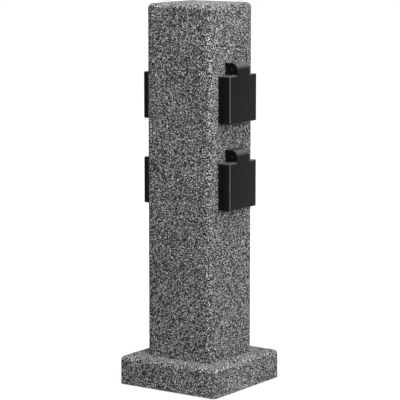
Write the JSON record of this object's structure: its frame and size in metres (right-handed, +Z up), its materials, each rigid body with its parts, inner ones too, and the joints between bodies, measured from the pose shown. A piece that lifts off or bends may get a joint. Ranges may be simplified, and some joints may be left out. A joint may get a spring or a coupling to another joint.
{
  "type": "garden socket post",
  "caption": "Square stone-look post on a square plinth, with covered mains sockets in pairs on two opposite sides and a cable gland low on its back.",
  "frame": {"origin": "on the ground, at the middle of the post's footprint", "axes": "+Z up along the post; +X and -X out of the two faces that carry sockets; +Y out of the rear face, with the cable gland"},
  "size_m": [0.126, 0.126, 0.415],
  "materials": {
    "granite": "fine-grained granite look in dark grey with white and black flecks, matt",
    "black_plastic": "satin moulded black plastic",
    "gland_plastic": "moulded black polyamide",
    "dark_rubber": "matt black rubber",
    "pale_plastic": "matt pale moulding",
    "white_plastic": "off-white moulding",
    "steel": "zinc-plated or stainless steel",
    "dark_steel": "blackened steel",
    "brass": "plain brass",
    "brown_sleeve": "brown wire insulation",
    "blue_sleeve": "blue wire insulation",
    "green_sleeve": "green and yellow wire insulation"
  },
  "bodies": {
    "root": {"column_shell": "granite", "plinth": "granite", "column_gasket": "dark_rubber", "base_plate": "steel", "base_gasket": "dark_rubber", "rubber_feet": "dark_rubber", "plate_screws": "steel", "column_screws": "steel", "anchor_inserts": "brass", "gland_washer": "dark_rubber", "gland_body": "gland_plastic", "gland_seal": "dark_rubber", "gland_dome_nut": "gland_plastic", "gland_locknut": "gland_plastic", "terminal_block": "pale_plastic", "terminal_screws": "steel", "block_screws": "steel", "wire_line": "brown_sleeve", "wire_neutral": "blue_sleeve", "wire_earth": "green_sleeve", "flange_gaskets": "dark_rubber", "flange_screws": "steel", "centre_screws": "steel", "shutter_springs": "steel", "socket_front_upper_right": "black_plastic", "hinge_pin_upper_right": "dark_steel", "lid_spring_upper_right": "steel", "contact_carrier_upper_right": "pale_plastic", "contact_sleeves_upper_right": "brass", "earth_bracket_upper_right": "brass", "socket_front_lower_right": "black_plastic", "hinge_pin_lower_right": "dark_steel", "lid_spring_lower_right": "steel", "contact_carrier_lower_right": "pale_plastic", "contact_sleeves_lower_right": "brass", "earth_bracket_lower_right": "brass", "socket_front_upper_left": "black_plastic", "hinge_pin_upper_left": "dark_steel", "lid_spring_upper_left": "steel", "contact_carrier_upper_left": "pale_plastic", "contact_sleeves_upper_left": "brass", "earth_bracket_upper_left": "brass", "socket_front_lower_left": "black_plastic", "hinge_pin_lower_left": "dark_steel", "lid_spring_lower_left": "steel", "contact_carrier_lower_left": "pale_plastic", "contact_sleeves_lower_left": "brass", "earth_bracket_lower_left": "brass"},
    "lid_upper_right": {"lid_upper_right": "black_plastic", "lid_seal_upper_right": "dark_rubber"},
    "shutter_upper_right": {"shutter_upper_right": "white_plastic"},
    "lid_lower_right": {"lid_lower_right": "black_plastic", "lid_seal_lower_right": "dark_rubber"},
    "shutter_lower_right": {"shutter_lower_right": "white_plastic"},
    "lid_upper_left": {"lid_upper_left": "black_plastic", "lid_seal_upper_left": "dark_rubber"},
    "shutter_upper_left": {"shutter_upper_left": "white_plastic"},
    "lid_lower_left": {"lid_lower_left": "black_plastic", "lid_seal_lower_left": "dark_rubber"},
    "shutter_lower_left": {"shutter_lower_left": "white_plastic"}
  },
  "joints": [
    {"name": "lid_hinge_upper_right", "type": "hinge", "parent": "root", "child": "lid_upper_right", "pos_m": [0.0497, 0, 0.3465], "axis": [0, -1, 0], "range_deg": [0, 100], "stiffness_Nm_per_rad": 0.02, "springref_deg": -85.94, "deforming": ["lid_spring_upper_right"]},
    {"name": "shutter_pivot_upper_right", "type": "hinge", "parent": "root", "child": "shutter_upper_right", "pos_m": [0.03, 0, 0.315], "axis": [1, 0, 0], "range_deg": [0, 42], "stiffness_Nm_per_rad": 0.001, "springref_deg": -28.65},
    {"name": "lid_hinge_lower_right", "type": "hinge", "parent": "root", "child": "lid_lower_right", "pos_m": [0.0497, 0, 0.2537], "axis": [0, -1, 0], "range_deg": [0, 100], "stiffness_Nm_per_rad": 0.02, "springref_deg": -85.94, "deforming": ["lid_spring_lower_right"]},
    {"name": "shutter_pivot_lower_right", "type": "hinge", "parent": "root", "child": "shutter_lower_right", "pos_m": [0.03, 0, 0.2222], "axis": [1, 0, 0], "range_deg": [0, 42], "stiffness_Nm_per_rad": 0.001, "springref_deg": -28.65},
    {"name": "lid_hinge_upper_left", "type": "hinge", "parent": "root", "child": "lid_upper_left", "pos_m": [-0.0497, 0, 0.3465], "axis": [0, 1, 0], "range_deg": [0, 100], "stiffness_Nm_per_rad": 0.02, "springref_deg": -85.94, "deforming": ["lid_spring_upper_left"]},
    {"name": "shutter_pivot_upper_left", "type": "hinge", "parent": "root", "child": "shutter_upper_left", "pos_m": [-0.03, 0, 0.315], "axis": [-1, 0, 0], "range_deg": [0, 42], "stiffness_Nm_per_rad": 0.001, "springref_deg": -28.65},
    {"name": "lid_hinge_lower_left", "type": "hinge", "parent": "root", "child": "lid_lower_left", "pos_m": [-0.0497, 0, 0.2537], "axis": [0, 1, 0], "range_deg": [0, 100], "stiffness_Nm_per_rad": 0.02, "springref_deg": -85.94, "deforming": ["lid_spring_lower_left"]},
    {"name": "shutter_pivot_lower_left", "type": "hinge", "parent": "root", "child": "shutter_lower_left", "pos_m": [-0.03, 0, 0.2222], "axis": [-1, 0, 0], "range_deg": [0, 42], "stiffness_Nm_per_rad": 0.001, "springref_deg": -28.65}
  ]
}
